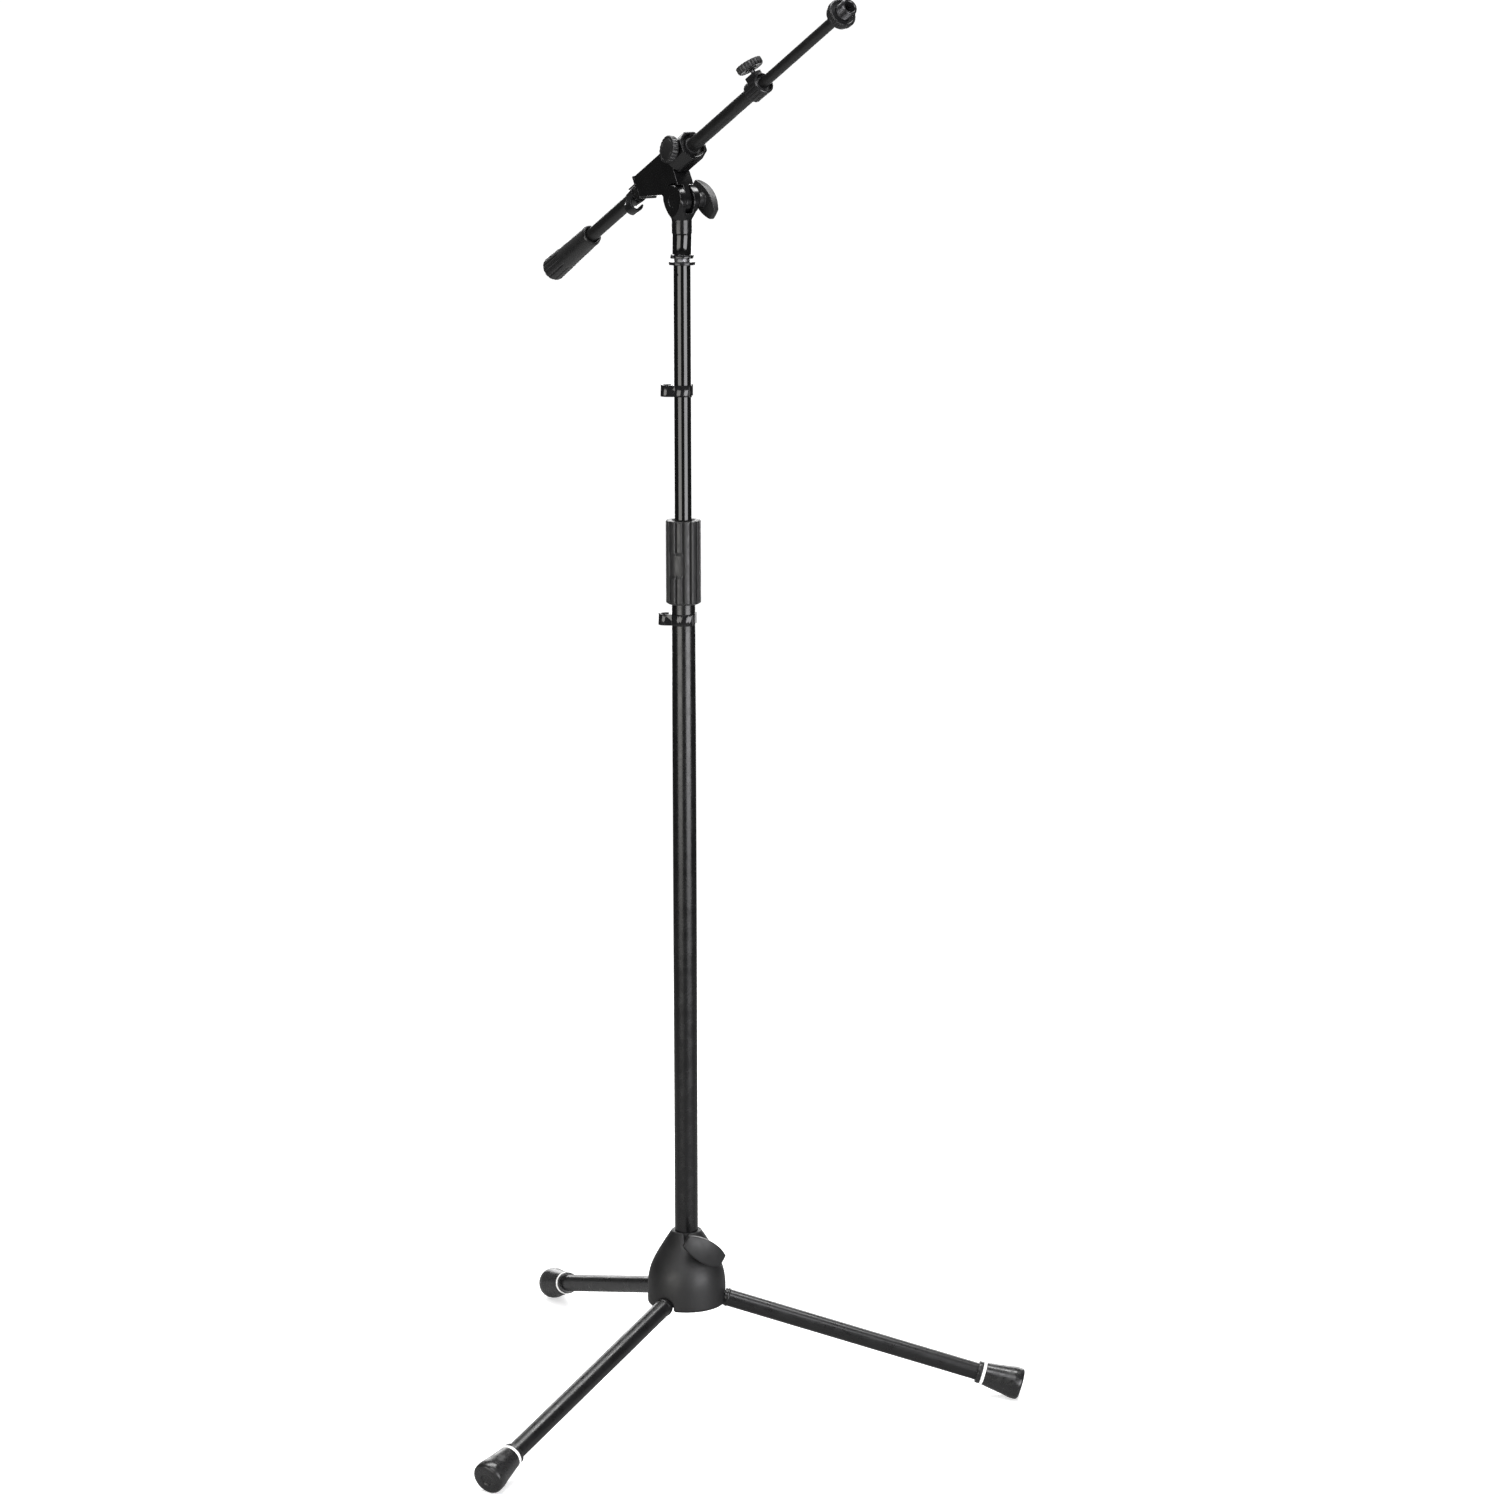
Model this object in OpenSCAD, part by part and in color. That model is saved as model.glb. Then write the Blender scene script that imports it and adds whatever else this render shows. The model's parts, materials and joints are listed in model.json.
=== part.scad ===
// Boom microphone stand: folding tripod base, two-part column, tilting two-part boom.
// The origin is on the floor under the column, +Z is up and leg 1 points along +X.
// Closed joints are drawn as they stand in use: legs spread, column and boom part way out.

/* [Tripod base] */
// Distance from a leg's hinge pin to the end of its foot
leg_length = 323.5; // [300:0.5:345]
// Angle of a spread leg below the horizontal
leg_slope = 16.3; // [15.5:0.1:17.5]
// Distance of the hinge pins from the column's axis
hinge_radius = 25; // [24.5:0.1:25.5]
// Outer diameter of the leg tubes
leg_diameter = 17.4; // [16.8:0.1:17.5]
// Diameter of a rubber foot at its end
foot_diameter = 32; // [28:0.5:34]
// Length of a rubber foot
foot_length = 46; // [40:1:52]

/* [Column] */
// Outer diameter of the lower column tube
lower_diameter = 23.2; // [23:0.1:23.4]
// Outer diameter of the upper column tube
upper_diameter = 16.8; // [16.6:0.1:17]
// Height of the lower end of the height clutch's grip
clutch_z = 804; // [780:0.5:820]
// Length of the height clutch's grip
grip_length = 81.5; // [76:0.5:84]
// Diameter of the height clutch's grip
grip_diameter = 34; // [33.5:0.5:36]
// Height of the column's top flange
flange_z = 1131.5; // [1100:0.5:1180]
// Length of the upper column tube
upper_length = 730; // [650:5:760]

/* [Boom] */
// Direction of the boom about the column, from leg 1
boom_yaw = -50; // [-120:1:120]
// Rise of the boom above the horizontal
boom_pitch = 29; // [0:0.5:60]
// Distance from the tilt bolt to the boom's axis
boom_height = 37.1; // [36.5:0.1:38.5]
// Outer diameter of the boom's outer tube
boom_diameter = 13.3; // [13.1:0.1:13.5]
// Outer diameter of the boom's inner tube
inner_diameter = 10.1; // [9.9:0.1:10.3]
// Place of the tail's end along the boom, behind the tilt bolt
tail_x = -232.5; // [-260:0.5:-215]
// Place of the boom clutch's rear face along the boom
boom_clutch_x = 150; // [140:1:162]
// Place of the head's flange along the boom
head_x = 296.5; // [265:0.5:325]

/* [Fittings] */
// Diameter of the microphone thread
thread_diameter = 15.875; // [15.8:0.005:15.95]
// Diameter of the two round clamp knobs
knob_diameter = 26; // [22:0.5:28]
// Number of broad ribs round the height clutch's grip
grip_ribs = 14; // [10:1:16]
// Height of a cable clip
clip_height = 11; // [9:0.5:13]

/* [Hidden] */
$fn = 64;

eps = 0.01;           // overshoot of a cut
run_gap = 0.05;       // radial gap of a sliding or turning fit
air_gap = 0.3;        // gap between pieces that pass each other
tube_wall = 1.2;
black_paint = [0.06, 0.06, 0.065];
black_plastic = [0.04, 0.04, 0.045];
grey_rubber = [0.2, 0.2, 0.21];
steel = [0.7, 0.7, 0.72];
nylon = [0.85, 0.84, 0.8];

// legs
leg_angles = [0, 120, 240];
foot_round = 3.5;
foot_lip_r = 11.2;
foot_ring_at = 4.5;
foot_ring_w = 3;
hinge_z = (leg_length - foot_round) * sin(leg_slope)
    + (foot_diameter / 2 - foot_round) * cos(leg_slope) + foot_round;
pin_r = 3;
tongue_half = 5;
tongue_r = 7.5;
tongue_end = 13;
bead_at = 15.4;
bead_w = 2.6;
bead_r = leg_diameter / 2 + 0.6;
leg_bore_r = leg_diameter / 2 - tube_wall;

// hub, heights above the floor
hub_bottom = 95.5;
hub_top = 171;
hub_r = 39.1;
hub_wall = 3.6;
hub_ceiling = 125;
bush_r = 13.2;
boss_r = 15;
web_gap = 5.2;
web_w = 3.6;
bush_bottom = 98.5;
brake_z = 160;
brake_azimuth = -60;
brake_boss_r = 8.5;
brake_boss_out = 34;
wing_tilt = -33;

// column
lower_r = lower_diameter / 2;
upper_r = upper_diameter / 2;
lower_bottom = 98.2;
lower_top = clutch_z + 43;
lower_bore_r = lower_r - tube_wall;
upper_bottom = flange_z - upper_length;
collet_top = clutch_z + 72;
clip_lower_z = clutch_z - 20.7;
clip_upper_z = flange_z - 126;
stud_r = thread_diameter / 2;
sleeve_r = 9.3;
sleeve_z = flange_z + 10;
sleeve_in_yoke = 10;

// tilt joint
pivot_z = flange_z + 60.8;
yoke_z = flange_z + 28.8;
ear_r = 15;
ear_room_r = 16.6;
ear_out = 11.8;
ear_in = 4.2;
tongue_w = 3.2;
bolt_r = 3;
tilt_wing_y = 24;

// boom, along its axis from the foot of the perpendicular through the tilt bolt
boom_r = boom_diameter / 2;
inner_r = inner_diameter / 2;
clamp_back = -48;
clamp_front = 42.8;
collar_back = 15;
collar_r = 15.4;
block_half = 9.5;
block_up = 12.3;
block_down = 9.8;
liner_r = boom_r + 1.4;
clamp_screw_x = 27.5;
knob_seat = 12.8;
clamp_screw_tilt = 12;
clutch_len = 20.7;
clutch_screw_x = boom_clutch_x + 14.4;
clutch_screw_tilt = 75;
boom_tube_front = boom_clutch_x + 11;
grip_front = tail_x + 80.5;
inner_back = head_x - 381;
screw_r = 3;
thin_screw_r = 2.2;

// ---- frames ----

// Leg number i's frame: X along the leg from its hinge pin, Y along the pin
module leg_frame(i) {
    rotate([0, 0, leg_angles[i]])
        translate([hinge_radius, 0, hinge_z])
            rotate([0, leg_slope, 0])
                children();
}

// The hub clamp's frame: Z outwards along its screw
module brake_frame() {
    rotate([0, 0, brake_azimuth])
        translate([0, 0, brake_z])
            rotate([0, 90, 0])
                children();
}

// The fork's frame: Y along the tilt bolt, Z up
module fork_frame() {
    translate([0, 0, pivot_z])
        rotate([0, 0, boom_yaw])
            children();
}

// The clamp's frame: the fork's, with X tilted along the boom
module clamp_frame() {
    fork_frame()
        rotate([0, -boom_pitch, 0])
            children();
}

// The boom's frame: Z along the boom's axis
module boom_frame() {
    clamp_frame()
        translate([0, 0, boom_height])
            rotate([0, 90, 0])
                children();
}

// The frame of a screw across the boom: Z outwards along the screw
module screw_frame(x, tilt) {
    clamp_frame()
        translate([x, 0, boom_height])
            rotate([90 - tilt, 0, 0])
                children();
}

// ---- shared shapes ----

module tube(r_out, r_in, z0, z1) {
    translate([0, 0, z0])
        difference() {
            cylinder(r = r_out, h = z1 - z0);
            translate([0, 0, -eps])
                cylinder(r = r_in, h = z1 - z0 + 2 * eps);
        }
}

// Round clamp knob, from z = 0 up, with finger grooves round its rim and a domed face
module round_knob(thick, bore_r) {
    knob_r = knob_diameter / 2;
    edge = 0.9;
    grooves = 20;
    difference() {
        intersection() {
            rotate_extrude()
                union() {
                    translate([0, edge])
                        square([knob_r, thick - 2 * edge]);
                    square([knob_r - edge, thick]);
                    translate([knob_r - edge, edge])
                        circle(r = edge);
                    translate([knob_r - edge, thick - edge])
                        circle(r = edge);
                }
            translate([0, 0, thick - 60])
                sphere(r = 60);
        }
        for (i = [0:grooves - 1])
            rotate([0, 0, i * 360 / grooves])
                translate([knob_r + 0.5, 0, -eps])
                    cylinder(r = 1, h = thick + 1);
        translate([0, 0, -eps])
            cylinder(r = bore_r, h = thick - 2.5);
    }
}

// Wing handle, from z = 0 up: an oval with clipped ends, a domed face and a bored hub
module wing_handle(half_length, thick, hub_len, bore_r) {
    half_width = 11.5;
    end_half = 5.9;
    dome_r = 60;
    bulge = half_width - end_half;
    side_r = (half_length * half_length + bulge * bulge) / (2 * bulge);
    difference() {
        union() {
            intersection() {
                linear_extrude(thick)
                    intersection() {
                        translate([0, half_width - side_r])
                            circle(r = side_r);
                        translate([0, side_r - half_width])
                            circle(r = side_r);
                        square([2 * half_length, 4 * half_width], center = true);
                    }
                translate([0, 0, thick - dome_r])
                    sphere(r = dome_r);
            }
            translate([0, 0, -hub_len])
                cylinder(r = 6.5, h = hub_len + eps);
        }
        translate([0, 0, -hub_len - eps])
            cylinder(r = bore_r, h = hub_len + thick - 2.5);
    }
}

// Plan of a cable clip on a tube of radius r: a split ring with flared jaws on the +X side
// and an open loop for the cable on the -X side
clip_wall = 1.7;
loop_out = 13;
loop_r = 7.3;
mouth_half_angle = 38;
module clip_plan(r) {
    ring_r = r + clip_wall;
    loop_x = -r - loop_out + loop_r;
    arm = -loop_x;
    difference() {
        union() {
            circle(r = ring_r);
            // front arm, round end and back arm of the cable loop
            translate([loop_x, -loop_r])
                square([arm, clip_wall]);
            difference() {
                translate([loop_x, 0])
                    circle(r = loop_r);
                translate([loop_x, 0])
                    circle(r = loop_r - clip_wall);
                translate([loop_x, -loop_r - 1])
                    square([2 * loop_r, 2 * loop_r + 2]);
            }
            translate([loop_x - eps, loop_r - clip_wall])
                square([loop_out - loop_r - 3.2, clip_wall]);
            // flared jaws
            for (side = [-1, 1])
                rotate([0, 0, side * (mouth_half_angle + 4)])
                    translate([r + 0.2, -0.7])
                        square([3.4, 1.4]);
        }
        circle(r = r + run_gap);
        polygon([
            [0, 0],
            [3 * r * cos(mouth_half_angle), -3 * r * sin(mouth_half_angle)],
            [3 * r * cos(mouth_half_angle), 3 * r * sin(mouth_half_angle)],
        ]);
    }
}

module cable_clip(r) {
    color(black_plastic)
        linear_extrude(clip_height)
            clip_plan(r);
}

// ---- tripod base ----

// Point at t, from 0 to 1, of the curve from a to d that b and c pull
function curve(a, b, c, d, t) =
    pow(1 - t, 3) * a + 3 * t * pow(1 - t, 2) * b + 3 * t * t * (1 - t) * c + pow(t, 3) * d;

// Outline of the bell, from the axis outwards
module hub_profile() {
    steps = 12;
    side = [
        for (i = [0:steps])
            curve([14.7, hub_top], [36.3, 137.4], [hub_r, 132], [hub_r, 108], i / steps),
    ];
    polygon(concat([[0, hub_bottom], [0, hub_top]], side,
        [[hub_r, hub_bottom + 2], [hub_r - 2, hub_bottom]]));
}

// Room for a leg's tube over its whole fold, in the leg's frame
module leg_room() {
    room_r = bead_r + air_gap;
    translate([tongue_end - 0.6, 0, 0])
        rotate([0, 90, 0])
            cylinder(r = room_r, h = 40);
    translate([tongue_r + 0.5, -room_r, -40])
        cube([45, 2 * room_r, 40]);
    // the hinge tongue's own way through the wall
    translate([tongue_r, -tongue_half - air_gap, -40])
        cube([tongue_end - tongue_r, 2 * (tongue_half + air_gap), 40 + tongue_half + air_gap]);
}

module hinge_webs() {
    for (side = [-1, 1])
        translate([0, side * (web_gap + web_w / 2) - web_w / 2, 0]) {
            translate([boss_r - 1.5, 0, hub_bottom + 0.5])
                cube([hinge_radius - boss_r + 1.5, web_w, hub_ceiling - hub_bottom]);
            translate([hinge_radius - 1, 0, hinge_z + 7])
                cube([hub_r - hinge_radius - 2, web_w, hub_ceiling - hinge_z - 6.5]);
            translate([hinge_radius, web_w, hinge_z])
                rotate([90, 0, 0])
                    cylinder(r = hinge_z - hub_bottom, h = web_w);
        }
}

module hub_shell() {
    color(black_paint)
        difference() {
            union() {
                difference() {
                    rotate_extrude()
                        hub_profile();
                    // hollow underside round the centre boss
                    rotate_extrude()
                        polygon([
                            [boss_r, hub_bottom - 1], [hub_r - hub_wall, hub_bottom - 1],
                            [hub_r - hub_wall, 118], [30.5, hub_ceiling], [boss_r, hub_ceiling],
                        ]);
                }
                for (a = leg_angles)
                    rotate([0, 0, a])
                        hinge_webs();
                brake_frame()
                    translate([0, 0, bush_r])
                        cylinder(r = brake_boss_r, h = brake_boss_out - bush_r);
            }
            // bore for the bush, screw hole, pin holes and leg slots
            translate([0, 0, hub_bottom - 1])
                cylinder(r = bush_r, h = hub_top - hub_bottom + 2);
            brake_frame()
                cylinder(r = screw_r + run_gap, h = 60);
            for (i = [0:2])
                leg_frame(i) {
                    rotate([90, 0, 0])
                        cylinder(r = pin_r, h = 24, center = true);
                    leg_room();
                }
            // notch in the collar beside the screw boss
            rotate([0, 0, brake_azimuth - 28])
                translate([bush_r - 2, 0, hub_top + 1])
                    rotate([90, 0, 90])
                        linear_extrude(14)
                            polygon([[-2.6, 0], [2.6, 0], [0, -14]]);
        }
}

module hub_bush() {
    color(nylon)
        difference() {
            tube(bush_r, lower_r + run_gap, bush_bottom, hub_top - 0.6);
            brake_frame()
                cylinder(r = 4.5 + run_gap, h = 30);
        }
}

module hub_brake_shoe() {
    color(nylon)
        brake_frame()
            intersection() {
                translate([0, 0, lower_r])
                    cylinder(r = 4.5, h = bush_r - lower_r - air_gap);
                rotate([0, 90, 0])
                    tube(bush_r, lower_r + run_gap, -10, 10);
            }
}

module hub_wing_screw() {
    color(steel)
        brake_frame()
            translate([0, 0, bush_r])
                cylinder(r = screw_r, h = 31);
}

module hub_wing() {
    color(black_plastic)
        brake_frame()
            rotate([0, 0, 90 + wing_tilt])
                translate([0, 0, 38.2])
                    wing_handle(24, 9, 3.8, screw_r);
}

module leg_hinge_pins() {
    color(steel)
        for (i = [0:2])
            leg_frame(i)
                rotate([90, 0, 0])
                    cylinder(r = pin_r, h = 2 * (web_gap + web_w), center = true);
}

module leg_root(i) {
    color(black_paint)
        leg_frame(i)
            difference() {
                union() {
                    rotate([90, 0, 0])
                        cylinder(r = tongue_r, h = 2 * tongue_half, center = true);
                    translate([0, -tongue_half, -tongue_half])
                        cube([tongue_end, 2 * tongue_half, 2 * tongue_half]);
                    rotate([0, 90, 0]) {
                        translate([0, 0, tongue_end - eps])
                            cylinder(r = leg_diameter / 2, h = bead_at - tongue_end + eps);
                        translate([0, 0, bead_at - eps])
                            cylinder(r = bead_r, h = bead_w);
                        translate([0, 0, bead_at])
                            cylinder(r = leg_bore_r, h = 30);
                    }
                }
                rotate([90, 0, 0])
                    cylinder(r = pin_r + run_gap, h = 30, center = true);
            }
}

leg_tube_start = bead_at + bead_w;
foot_start = leg_length - foot_length;
foot_wall_end = 8;
module leg_tube(i) {
    color(black_paint)
        leg_frame(i)
            rotate([0, 90, 0])
                tube(leg_diameter / 2, leg_bore_r, leg_tube_start, leg_length - foot_wall_end);
}

// Outline of a foot's outside, radius against distance from its small end
module foot_profile() {
    end_r = foot_diameter / 2;
    ring_end = foot_ring_at + foot_ring_w;
    difference() {
        union() {
            polygon([
                [0, 0], [foot_lip_r - 0.8, 0], [foot_lip_r, 0.8], [foot_lip_r, foot_ring_at],
                [foot_lip_r + 0.4, ring_end], [end_r - 0.3, foot_length - foot_round - 4],
                [end_r, foot_length - foot_round], [end_r - foot_round, foot_length],
                [0, foot_length],
            ]);
            translate([end_r - foot_round, foot_length - foot_round])
                circle(r = foot_round);
        }
        translate([foot_lip_r - 1.6, foot_ring_at])
            square([4, foot_ring_w]);
    }
}

module foot(i) {
    color(grey_rubber)
        leg_frame(i)
            rotate([0, 90, 0])
                translate([0, 0, foot_start])
                    difference() {
                        rotate_extrude()
                            foot_profile();
                        translate([0, 0, -eps])
                            cylinder(r = leg_diameter / 2, h = foot_length - foot_wall_end);
                    }
}

module foot_ring(i) {
    color("white")
        leg_frame(i)
            rotate([0, 90, 0])
                translate([0, 0, foot_start])
                    tube(foot_lip_r + 0.5, foot_lip_r - 1.6, foot_ring_at,
                        foot_ring_at + foot_ring_w);
}

// ---- column ----

module lower_tube() {
    color(black_paint)
        tube(lower_r, lower_bore_r, lower_bottom, lower_top);
}

module column_end_plug() {
    color(black_plastic) {
        translate([0, 0, lower_bottom - 2.5])
            cylinder(r = lower_r + 1.1, h = 2.5);
        translate([0, 0, lower_bottom])
            cylinder(r = lower_bore_r, h = 18);
    }
}

body_r = lower_r + 1.3;
module clutch_body() {
    color(black_plastic)
        tube(body_r, lower_r, clutch_z + 0.5, lower_top);
}

core_r = grip_diameter / 2 - 2.6;
core_z0 = clutch_z + 1.5;
core_z1 = clutch_z + grip_length - 1.5;
collet_r = 11.4;
collet_tip_r = 9.6;
module clutch_collet() {
    color(nylon)
        difference() {
            rotate_extrude()
                polygon([
                    [upper_r + run_gap, lower_top], [collet_r, lower_top],
                    [collet_r, lower_top + 6], [collet_tip_r, collet_top],
                    [upper_r + run_gap, collet_top],
                ]);
            // three slits that let the collet close on the tube
            for (a = leg_angles)
                rotate([0, 0, a + 30])
                    translate([0, -0.6, lower_top + 7])
                        cube([20, 1.2, 40]);
        }
}

module clutch_core() {
    color(steel)
        rotate_extrude()
            polygon([
                [body_r + run_gap, core_z0], [core_r, core_z0], [core_r, core_z1],
                [upper_r + 0.6, core_z1], [upper_r + 0.6, collet_top + 2],
                [collet_tip_r + 0.4, collet_top + 2], [collet_r + 0.4, lower_top + 7],
                [body_r + run_gap, lower_top + 7],
            ]);
}

pad_angle = 52;
module clutch_grip() {
    grip_r = grip_diameter / 2;
    edge = 1.5;
    color(grey_rubber) {
        difference() {
            rotate_extrude()
                polygon([
                    [body_r + 0.4, clutch_z], [grip_r - edge, clutch_z],
                    [grip_r, clutch_z + edge], [grip_r, clutch_z + grip_length - edge],
                    [grip_r - edge, clutch_z + grip_length],
                    [upper_r + 0.8, clutch_z + grip_length], [upper_r + 0.8, core_z1],
                    [core_r, core_z1], [core_r, core_z0], [body_r + 0.4, core_z0],
                ]);
            // grooves between the broad ribs
            for (i = [0:grip_ribs - 1])
                rotate([0, 0, (i + 0.5) * 360 / grip_ribs])
                    translate([grip_r + 0.35, 0, clutch_z - 1])
                        cylinder(r = 1.25, h = grip_length + 2);
        }
        // smooth patch across three ribs
        rotate([0, 0, -110 - pad_angle / 2])
            rotate_extrude(angle = pad_angle)
                translate([core_r, clutch_z + 29])
                    square([grip_r - 0.15 - core_r, 20]);
    }
}

module cable_clip_lower() {
    translate([0, 0, clip_lower_z])
        cable_clip(lower_r);
}

module upper_tube() {
    color("black")
        difference() {
            tube(upper_r, upper_r - tube_wall, upper_bottom, flange_z);
            // dimple that pins the top stud
            translate([0, 0, flange_z - 9])
                rotate([90, 0, boom_yaw + 20])
                    translate([0, 0, upper_r - 0.4])
                        cylinder(r = 1.4, h = 2);
        }
}

module upper_tube_guide() {
    guide_r = lower_bore_r - run_gap;
    color(nylon) {
        tube(guide_r, upper_r, upper_bottom, upper_bottom + 25);
        tube(guide_r, upper_r - tube_wall, upper_bottom - 3, upper_bottom);
    }
}

module cable_clip_upper() {
    translate([0, 0, clip_upper_z])
        cable_clip(upper_r);
}

module top_stud() {
    color(steel) {
        translate([0, 0, flange_z - 26])
            cylinder(r = upper_r - tube_wall, h = 26);
        translate([0, 0, flange_z])
            cylinder(r = 13, h = 3);
        translate([0, 0, flange_z + 3])
            cylinder(r = stud_r, h = 20);
    }
}

module lock_nut() {
    flats = 8;
    color(black_paint)
        translate([0, 0, flange_z + 6.2])
            difference() {
                cylinder(r = 11.3, h = 3.2);
                translate([0, 0, -1])
                    cylinder(r = stud_r + run_gap, h = 6);
                for (i = [0:flats - 1])
                    rotate([0, 0, i * 360 / flats])
                        translate([11.9, 0, -1])
                            cylinder(r = 1.3, h = 6);
            }
}

// ---- tilt joint ----

module swivel_sleeve() {
    color("black")
        difference() {
            translate([0, 0, sleeve_z])
                cylinder(r = sleeve_r, h = yoke_z + sleeve_in_yoke - sleeve_z);
            translate([0, 0, sleeve_z - 1])
                cylinder(r = stud_r + run_gap, h = 17);
        }
}

module yoke() {
    neck_r = 9.9;
    neck_top = -18;
    color(black_paint)
        fork_frame()
            difference() {
                intersection() {
                    rotate([90, 0, 0]) {
                        cylinder(r = ear_r, h = 2 * ear_out, center = true);
                        linear_extrude(2 * ear_out, center = true)
                            polygon([
                                [-ear_r, 0], [ear_r, 0], [12, -11], [neck_r, neck_top],
                                [neck_r, yoke_z - pivot_z], [-neck_r, yoke_z - pivot_z],
                                [-neck_r, neck_top], [-12, -11],
                            ]);
                    }
                    rotate_extrude()
                        polygon([
                            [0, yoke_z - pivot_z], [neck_r - 0.8, yoke_z - pivot_z],
                            [neck_r, yoke_z - pivot_z + 0.8], [neck_r, neck_top], [12.6, -13.5],
                            [16.5, -6], [18.6, 0], [18.6, 12], [16, ear_r + 1], [0, ear_r + 1],
                        ]);
                }
                // slot for the clamp's tongue
                translate([-30, -ear_in, 0])
                    cube([60, 2 * ear_in, 30]);
                rotate([90, 0, 0])
                    cylinder(r = ear_r + 1.2, h = 2 * ear_in, center = true);
                // bolt hole, hexagonal recess for the bolt's head, seat of the sleeve
                rotate([90, 0, 0])
                    cylinder(r = bolt_r, h = 40, center = true);
                translate([0, -ear_out + 4, 0])
                    rotate([90, 0, 0])
                        cylinder(r = 6.1, h = 10, $fn = 6);
                translate([0, 0, yoke_z - pivot_z - 1])
                    cylinder(r = sleeve_r, h = sleeve_in_yoke + 1);
            }
}

module tilt_bolt() {
    color(steel)
        fork_frame()
            rotate([90, 0, 0]) {
                translate([0, 0, ear_out - 4])
                    cylinder(r = 6, h = 3.6, $fn = 6);
                translate([0, 0, -tilt_wing_y - 4])
                    cylinder(r = bolt_r, h = tilt_wing_y + 4 + ear_out - 4);
            }
}

module tilt_washers() {
    washer_w = ear_in - tongue_w - air_gap;
    color(nylon)
        fork_frame()
            for (side = [-1, 1])
                translate([0, side * (ear_in - washer_w / 2), 0])
                    rotate([90, 0, 0])
                        difference() {
                            cylinder(r = 9, h = washer_w, center = true);
                            cylinder(r = bolt_r, h = 5, center = true);
                        }
}

module tilt_nut() {
    color(steel)
        fork_frame()
            rotate([-90, 0, 0])
                tube(5, bolt_r + run_gap, ear_out + air_gap, tilt_wing_y + 5.5);
}

module tilt_wing() {
    color(black_plastic)
        fork_frame()
            translate([0, tilt_wing_y, 0])
                rotate([-90, 41, 0])
                    wing_handle(21, 9, tilt_wing_y - ear_out - 1.2, 5);
}

// ---- boom clamp ----

// Side view of the clamp body, X along the boom and Y up from the tilt bolt
module clamp_side() {
    web_half = 12.3;
    web_front = 13.5;
    under = boom_height - block_down;
    circle(r = web_half);
    // the web, which runs out to the rear end in a long slope
    polygon([
        [-web_half, 0], [web_half, 0], [web_front, web_front], [web_front, under + 1],
        [clamp_back + 2, under + 1], [clamp_back + 2, under], [-15, web_front],
    ]);
    translate([clamp_back, under])
        square([collar_back - clamp_back + eps, block_down + block_up]);
}

module clamp_body() {
    lip = 0.8;
    lip_w = 2.4;
    color(black_paint)
        difference() {
            union() {
                clamp_frame() {
                    difference() {
                        rotate([90, 0, 0])
                            linear_extrude(2 * block_half, center = true)
                                clamp_side();
                        // the ears' room on both sides of the tongue
                        for (side = [-1, 1])
                            translate([0, side * (tongue_w + 10), 0])
                                rotate([90, 0, 0])
                                    cylinder(r = ear_room_r, h = 20, center = true);
                    }
                    // lip plate round the rear end
                    translate([clamp_back - lip_w + eps, -block_half - lip,
                            boom_height - block_down - lip])
                        cube([lip_w, 2 * (block_half + lip), block_down + block_up + 2 * lip]);
                }
                boom_frame()
                    translate([0, 0, collar_back])
                        rotate([0, 0, 22.5])
                            cylinder(r = collar_r, h = clamp_front - collar_back, $fn = 8);
            }
            boom_frame() {
                translate([0, 0, clamp_back - 5])
                    cylinder(r = liner_r, h = 120);
                translate([0, 0, clamp_front - 3])
                    cylinder(r = 11.4, h = 10);
            }
            // spot face under the knob
            screw_frame(clamp_screw_x, clamp_screw_tilt)
                translate([0, 0, knob_seat])
                    cylinder(r = knob_diameter / 2 + 1, h = 10);
            screw_frame(clamp_screw_x, clamp_screw_tilt)
                cylinder(r = screw_r + run_gap, h = 30);
            clamp_frame()
                rotate([90, 0, 0])
                    cylinder(r = bolt_r + run_gap, h = 30, center = true);
        }
}

module clamp_liner() {
    color(black_plastic)
        difference() {
            boom_frame()
                tube(liner_r, boom_r + run_gap, clamp_back - 1, clamp_front - 1);
            screw_frame(clamp_screw_x, clamp_screw_tilt)
                cylinder(r = screw_r + run_gap, h = 30);
        }
}

module clamp_pad() {
    color(nylon)
        screw_frame(clamp_screw_x, clamp_screw_tilt)
            translate([0, 0, boom_r + air_gap])
                cylinder(r = screw_r, h = 1.4);
}

module clamp_screw() {
    color(steel)
        screw_frame(clamp_screw_x, clamp_screw_tilt)
            translate([0, 0, boom_r + 2])
                cylinder(r = screw_r, h = 20 - boom_r - 2);
}

module clamp_knob() {
    color(black_plastic)
        screw_frame(clamp_screw_x, clamp_screw_tilt)
            translate([0, 0, knob_seat + 0.5])
                round_knob(9.4, screw_r);
}

// ---- boom ----

module boom_tube() {
    color(black_paint)
        boom_frame()
            tube(boom_r, boom_r - 1.1, tail_x + 4, boom_tube_front);
}

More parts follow.
